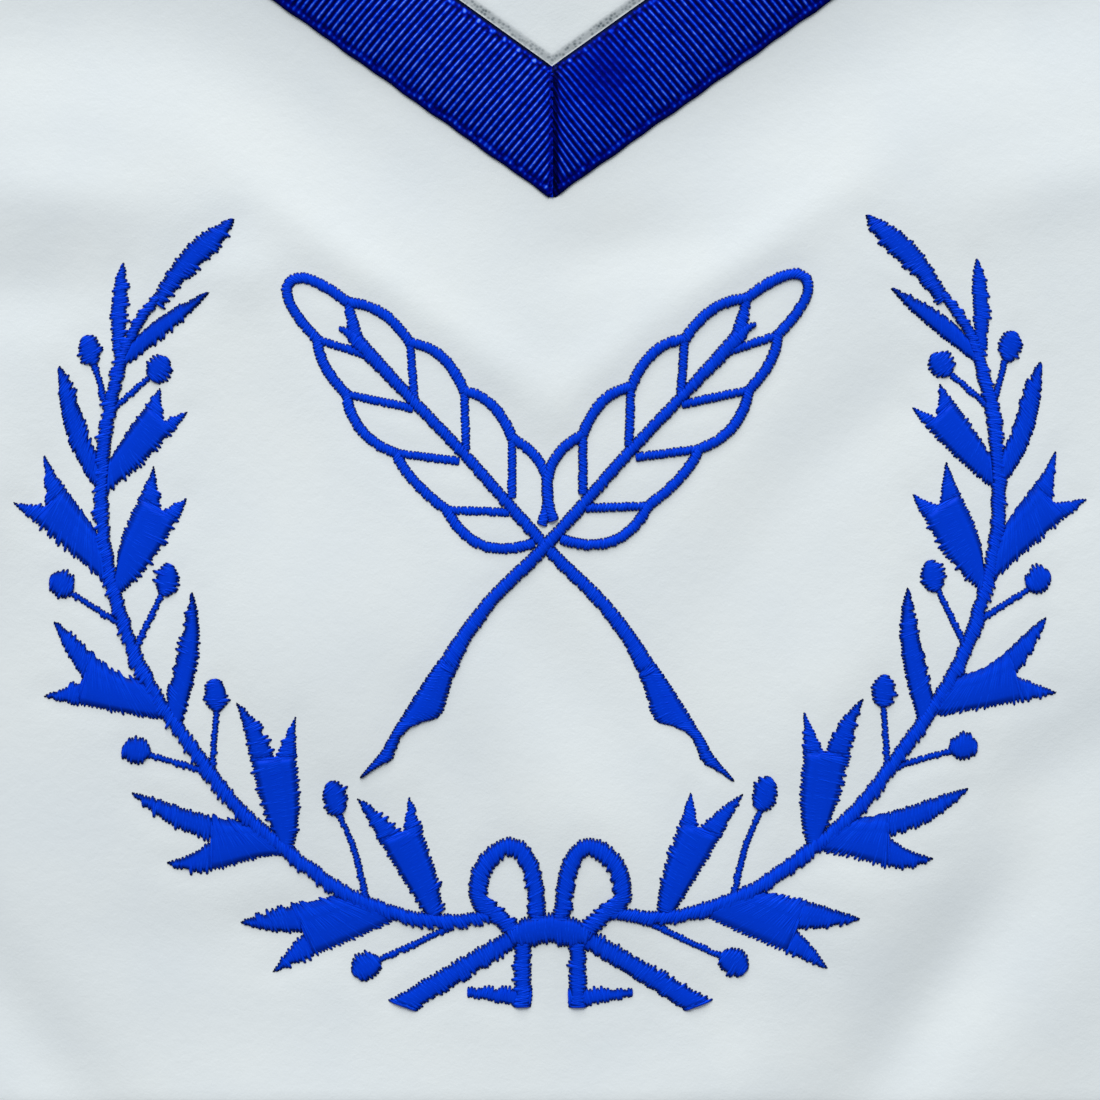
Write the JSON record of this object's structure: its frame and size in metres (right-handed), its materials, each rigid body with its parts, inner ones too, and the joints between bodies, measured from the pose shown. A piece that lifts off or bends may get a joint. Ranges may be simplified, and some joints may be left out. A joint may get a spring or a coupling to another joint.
{
  "type": "masonic apron",
  "caption": "White ceremonial apron with a pointed flap, blue ribbed ribbon edging, an embroidered emblem of crossed quills in a laurel wreath, and a waist belt.",
  "frame": {"origin": "on the surface that the apron lies on, under the middle of its bounding box", "axes": "+X to the right of the apron as it is looked at, +Y towards the waist edge, +Z out of the apron's face"},
  "size_m": [0.4598, 0.356, 0.01],
  "materials": {
    "leathercloth": "smooth matte coated cloth",
    "ribbon": "ribbed grosgrain with a soft sheen",
    "thread": "satin-stitched rayon thread",
    "webbing": "flat woven webbing",
    "clasp": "nickel plated"
  },
  "bodies": {
    "root": {"apron_body": "leathercloth", "flap": "leathercloth", "flap_ribbon_left": "ribbon", "flap_ribbon_right": "ribbon", "border_ribbon_left": "ribbon", "border_ribbon_right": "ribbon", "border_ribbon_bottom": "ribbon", "crossed_quills": "thread", "wreath_left": "thread", "wreath_right": "thread", "bow": "thread", "belt_left": "webbing", "belt_right": "webbing", "belt_clasp": "clasp"}
  },
  "joints": []
}
